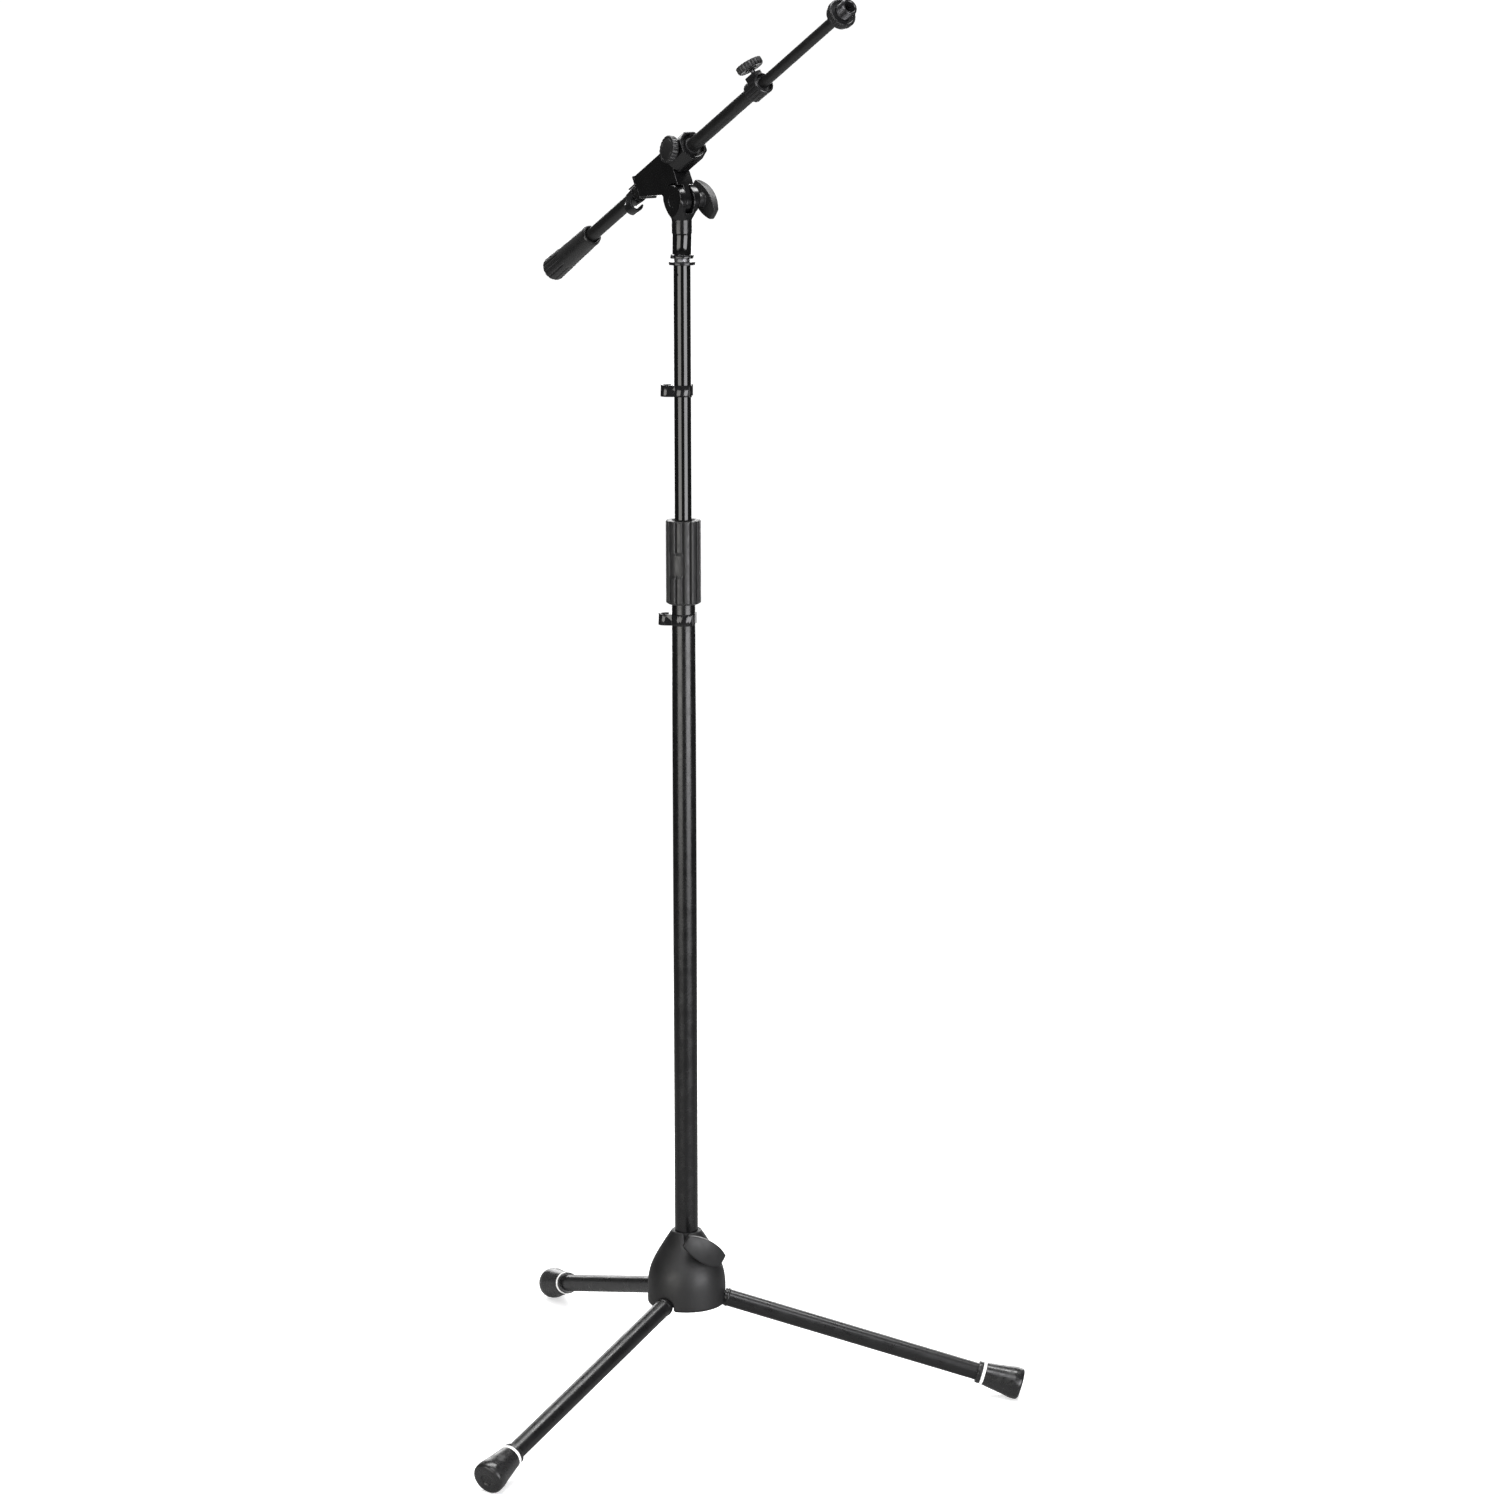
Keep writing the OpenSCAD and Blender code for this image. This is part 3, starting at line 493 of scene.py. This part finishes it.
def foot(i):
    place = leg_frame(i)
    start, end = span(f"foot_{i}", place)
    ring_start, ring_end = span(f"foot_ring_{i}", place)
    end_r = reach(f"foot_{i}", place)
    ring_r = reach(f"foot_ring_{i}", place)
    bore_r = reach(f"leg_tube_{i}", place)
    tube_end = span(f"leg_tube_{i}", place)[1]
    waist_at = 0.62
    lip_r = ring_r - 0.5
    groove_r = ring_r - 2.1
    outline = rounded([
        (bore_r, start, 0.3), (lip_r, start, 0.9), (lip_r, ring_start, 0.25), (groove_r, ring_start, 0),
        (groove_r, ring_end, 0), (lip_r + 0.3, ring_end, 0.25),
        (end_r - 1.6, start + (end - start) * waist_at, 30),
        (end_r, end - 9, 12), (end_r, end, 4.2), (end_r - 9.5, end, 1.2), (end_r - 10.5, end - 1.2, 0.6),
        (0, end - 1.2, 0),
    ])
    back = [(0, tube_end), (bore_r, tube_end)]
    piece = lathe(f"rubber_foot_{i}", outline + back, place, 96)
    stand_for(piece, f"foot_{i}", FOOT_RUBBER, f"leg_{i}")
    ring_outline = rounded([
        (groove_r, ring_start, 0.1), (ring_r - 0.1, ring_start, 0.5),
        (ring_r, ring_end, 0.5), (groove_r, ring_end, 0.1),
    ], closed=True)
    ring = lathe(f"white_ring_{i}", ring_outline, place, 96)
    stand_for(ring, f"foot_ring_{i}", RING_WHITE, f"leg_{i}")


for leg in (1, 2, 3):
    foot(leg)


def height_grip():
    low, high = span("clutch_grip", COLUMN)
    grip_r = reach("clutch_grip", COLUMN)
    mouth_r = reach("clutch_body", COLUMN) + 0.4
    core_r = reach("clutch_core", COLUMN)
    core_low, core_high = span("clutch_core", COLUMN)
    neck_r = reach("upper_tube", COLUMN) + 0.8
    side = stretch(grip_r, low + 2.8, high - 1.6, 1.6)
    outline = rounded([(mouth_r, low, 0), (grip_r - 2.6, low, 0.5), (grip_r, low + 1.5, 0.8),
                       (grip_r, low + 2.6, 0)])
    outline += side
    outline += rounded([(grip_r, high - 1.4, 0), (grip_r, high, 0.7), (neck_r + 2.6, high, 0.6),
                        (neck_r + 1.6, high - 0.8, 0.4), (neck_r, high - 0.8, 0)])[1:]
    outline += [(neck_r, core_high), (core_r, core_high), (core_r, core_low), (mouth_r, core_low)]
    ribs = 14
    cut = flutes(ribs, 2.4, 3.4, low - 3, high + 3, phase=math.radians(4))
    pad_low, pad_high = low + 28, low + 50
    pad_mid = math.radians(-110)
    pad_half = math.radians(26)

    def shape(r, z, angle):
        if r < core_r + 0.2:
            return r
        off = abs((angle - pad_mid + math.pi) % (2 * math.pi) - math.pi)
        inside = min(pad_half - off, (z - pad_low) / 14, (pad_high - z) / 14)
        blend = min(1.0, max(0.0, inside / 0.03))
        fluted = cut(r, z, angle)
        return fluted * (1 - blend) + (r - 0.9) * blend

    piece = lathe("height_grip", outline, COLUMN, 336, shape=shape)
    stand_for(piece, "clutch_grip", GRIP_RUBBER, "height_grip")


height_grip()


def round_knob(name, node, place, body):
    low, high = span(node, place)
    knob_r = reach(node, place)
    dome = (high - low) * 0.16
    outline = rounded([
        (0, low + 1.2, 0), (4.2, low + 1.2, 0.3), (4.2, low, 0.3), (5.6, low, 0.3), (5.6, low + 1.0, 0.3),
        (knob_r - 1.4, low + 0.4, 0.6), (knob_r, low + 1.2, 0.6)])[:-1]
    outline += stretch(knob_r, low + 2.2, high - dome - 2.0, 1.0)
    outline += rounded([
        (knob_r, high - dome - 2.0, 0), (knob_r, high - dome, 1.6), (knob_r - 2.4, high - dome + 0.2, 0.5),
        (knob_r - 2.9, high - dome - 0.15, 0.3), (knob_r - 3.5, high - dome + 0.25, 0.4),
        (knob_r * 0.4, high - 0.1, 14), (0, high, 0)])[1:]
    cut = flutes(20, 0.75, 2.2, low - 2, high + 2)
    piece = lathe(name, outline, place, 216, closed=False, shape=outside(cut, knob_r - 2.2))
    stand_for(piece, node, KNOB, body)


round_knob("clamp_screw_knob", "clamp_knob", CLAMP_SCREW, "clamp_knob")
round_knob("telescope_screw_knob", "boom_clutch_knob", CLUTCH_SCREW, "boom_clutch_knob")


def tail_handle():
    low, high = span("tail_grip", BOOM)
    grip_r = reach("tail_grip", BOOM)
    tube_r = reach("boom_tube", BOOM)
    plug_low = span("boom_tube", BOOM)[0]
    front_r = tube_r + 3.35

    def side_r(z):
        return grip_r + (front_r + 0.6 - grip_r) * (z - low - 3) / (high - low - 4.5)

    outline = rounded([(0, low + 0.8, 0), (grip_r - 3.4, low + 0.8, 0.4), (grip_r - 3.0, low, 0.5),
                       (grip_r - 1.3, low, 0.9), (grip_r, low + 2.6, 1.2), (side_r(low + 5), low + 5, 0)])
    outline += [(side_r(z), z) for _, z in stretch(0, low + 6, high - 3, 1.5)]
    outline += rounded([(side_r(high - 2.4), high - 2.4, 0), (front_r + 0.4, high - 1.2, 0.5),
                        (front_r - 0.2, high, 0.4),
                        (tube_r + 1.4, high, 0.4), (tube_r + 1.2, high - 6, 0),
                        (tube_r, high - 6, 0), (tube_r, plug_low, 0), (0, plug_low, 0)])
    cut = flutes(12, 0.9, 2.6, low - 4, low + 32, fade=4.0)
    piece = lathe("tail_handle", outline, BOOM, 240, shape=outside(cut, grip_r - 1.8))
    stand_for(piece, "tail_grip", TAIL_RUBBER, "boom")


tail_handle()


def microphone_stud():
    low, high = span("head_stud", BOOM)
    mount = [m for m in frame["record"]["mounts"] if m["name"] == "microphone_thread"][0]
    major_r = mount["dims"]["r_mm"]
    thread_low = high - mount["dims"]["length_mm"]
    flange_r = reach("head_stud", BOOM)
    inner_r = reach("boom_inner_tube", BOOM)
    bore_r = 5.2
    neck_r = major_r - 0.4
    flange_high = low + 3.0
    outline = rounded([(inner_r, low, 0.2), (flange_r, low, 0.6), (flange_r, flange_high, 0.6),
                       (neck_r, flange_high, 0.2), (neck_r, thread_low, 0)])
    outline += stretch(major_r, thread_low + 0.1, high - 0.9, THREAD_PITCH / 9)
    outline += rounded([(major_r, high - 0.8, 0), (major_r - 0.9, high, 0.25), (bore_r + 0.7, high, 0.2),
                        (bore_r, high - 0.7, 0.2), (bore_r, low + 5, 0)])[1:]
    outline += [(inner_r, low + 5)]
    piece = lathe("microphone_stud", outline, BOOM, 84,
                  shape=thread(major_r, THREAD_PITCH, thread_low, high - 0.6), sharp_deg=65)
    stand_for(piece, "head_stud", BLACK_STEEL, "boom_front")


microphone_stud()


def stud_lock_ring():
    low, high = span("head_lock_ring", BOOM)
    ring_r = reach("head_lock_ring", BOOM)
    bore_r = 7.59
    outline = rounded([(bore_r, low, 0.2), (ring_r - 0.7, low, 0.4), (ring_r, low + 0.9, 0.3)])
    outline += stretch(ring_r, low + 1.2, high - 1.2, 0.8)
    outline += rounded([(ring_r, high - 1.1, 0.3), (ring_r - 0.8, high, 0.5), (ring_r - 2.6, high, 0.3),
                        (ring_r - 3.0, high - 0.5, 0.2), (bore_r + 0.8, high - 0.5, 0.2),
                        (bore_r, high - 0.9, 0)])
    cut = flutes(36, 0.45, 1.5, low - 3, high + 3)
    piece = lathe("stud_lock_ring", outline, BOOM, 360, shape=outside(cut, ring_r - 1.2))
    stand_for(piece, "head_lock_ring", COLLAR, "head_ring")


stud_lock_ring()


def column_stud():
    low, high = span("top_stud", COLUMN)
    flange_r = reach("top_stud", COLUMN)
    plug_r = reach("upper_tube", COLUMN) - 1.2
    flange_low = span("upper_tube", COLUMN)[1]
    flange_high = flange_low + 3
    major_r = THREAD_DIAMETER / 2
    outline = rounded([(0, low, 0), (plug_r, low, 0.4), (plug_r, flange_low, 0), (flange_r, flange_low, 0.5),
                       (flange_r, flange_high, 0.5), (major_r - 0.5, flange_high, 0.2),
                       (major_r - 0.5, flange_high + 0.5, 0)])
    outline += stretch(major_r, flange_high + 0.6, high - 1, THREAD_PITCH / 8)
    outline += [(major_r - 0.8, high), (0, high)]
    piece = lathe("column_stud", outline, COLUMN, 84, closed=False,
                  shape=thread(major_r, THREAD_PITCH, flange_high + 0.5, high - 0.9), sharp_deg=65)
    stand_for(piece, "top_stud", ZINC, "upper_column")
    piece.data.materials.append(TOP_PLATING)
    for face in piece.data.polygons:
        if face.center.z < (flange_high + 0.2) * MM:
            face.material_index = 1


column_stud()


# ---- floor, light and camera ----

def floor():
    """White paper whose rim fades out, and which mirrors only weakly in the gloss of the tubes."""
    radius = 2.4
    segments = 96
    angles = [2 * math.pi * k / segments for k in range(segments)]
    verts = [(radius * math.cos(a), radius * math.sin(a), 0) for a in angles]
    mesh = bpy.data.meshes.new("floor")
    mesh.from_pydata(verts, [], [list(range(segments))])
    obj = bpy.data.objects.new("floor", mesh)
    bpy.context.scene.collection.objects.link(obj)
    n = Nodes("floor_paper")
    n.colour(n.mix(n.noise(40, 3), (0.86, 0.86, 0.86), (0.9, 0.9, 0.9)))
    n.roughness(n.ramp(n.noise(20, 3), 0.3, 0.7, 0.85, 0.95))
    n.bump([(n.noise(0.5, 3), 0.1, 0.02)])
    n.set("Specular IOR Level", 0.1)
    n.set("Emission Color", (1, 1, 1, 1))
    path = n.add("ShaderNodeLightPath")
    n.link(n.ramp(path.outputs["Is Camera Ray"], 0, 1, 0.0, 0.5), n.shader.inputs["Emission Strength"])
    away = n.add("ShaderNodeVectorMath", operation="LENGTH")
    n.link(n.coords, away.inputs[0])
    rim = n.ramp(away.outputs["Value"], 0.9, 2.2, 1.0, 0.0)
    seen = n.math("SUBTRACT", 1.0, n.math("MULTIPLY", path.outputs["Is Glossy Ray"], 0.7))
    n.link(n.math("MULTIPLY", rim, seen), n.shader.inputs["Alpha"])
    paint(obj, n.material)


floor()


def area_light(name, at, rotation, width, height, radiance, colour):
    data = bpy.data.lights.new(name, "AREA")
    data.shape = "RECTANGLE"
    data.size = width
    data.size_y = height
    data.energy = radiance * math.pi * width * height
    data.color = colour
    light = bpy.data.objects.new(name, data)
    light.location = at
    light.rotation_euler = rotation
    light.visible_camera = False
    bpy.context.scene.collection.objects.link(light)


def softbox(name, azimuth_deg, distance, centre_z, width, height, radiance,
            colour=(1, 1, 1), target_z=None):
    """A rectangular light at an azimuth seen from the stand, 0 towards -Y and growing towards +X."""
    a = math.radians(azimuth_deg)
    at = Vector((distance * math.sin(a), -distance * math.cos(a), centre_z))
    aim = Vector((0, 0, centre_z if target_z is None else target_z))
    rotation = (aim - at).to_track_quat("-Z", "Y").to_euler()
    area_light(name, at, rotation, width, height, radiance, colour)


softbox("left_softbox", -36, 2.5, 0.58, 1.9, 1.1, 5.0, (1.0, 0.985, 0.95))
softbox("right_softbox", 46, 2.5, 0.58, 1.9, 1.1, 8.0, (0.98, 0.975, 1.0))
softbox("top_softbox", 5, 1.6, 2.3, 1.5, 0.9, 8.0, (0.98, 0.975, 1.0), target_z=0.3)
area_light("overhead_softbox", (0, 0.5, 2.5), (0, 0, 0), 2.2, 0.55, 16.0, (1, 1, 1))
softbox("back_softbox", 180, 2.6, 0.95, 2.6, 1.5, 4.0, target_z=0.5)

world = bpy.data.worlds.new("studio")
world.use_nodes = True
bpy.context.scene.world = world
tree = world.node_tree
background = tree.nodes["Background"]
background.inputs["Color"].default_value = (1, 1, 1, 1)
paths = tree.nodes.new("ShaderNodeLightPath")
level = tree.nodes.new("ShaderNodeMapRange")
level.inputs["To Min"].default_value = 0.06
level.inputs["To Max"].default_value = 1.05
tree.links.new(paths.outputs["Is Camera Ray"], level.inputs["Value"])
tree.links.new(level.outputs["Result"], background.inputs["Strength"])

ROLL = 0.0016       # radians
camera_data = bpy.data.cameras.new("camera")
camera_data.sensor_width = 36
camera_data.lens = 101.2
camera_data.clip_end = 50
camera = bpy.data.objects.new("camera", camera_data)
camera.location = (0.3058, -4.0106, 1.46265)
pitch_down = math.radians(11.26)
level_heading = Vector((-0.06084, 0.9982, 0)).normalized()
heading = level_heading * math.cos(pitch_down) - Vector((0, 0, math.sin(pitch_down)))
roll = Matrix.Rotation(ROLL, 4, heading)
camera.rotation_euler = (roll @ heading.to_track_quat("-Z", "Y").to_matrix().to_4x4()).to_euler()
bpy.context.scene.collection.objects.link(camera)
bpy.context.scene.camera = camera
bpy.context.scene.view_settings.view_transform = "Standard"
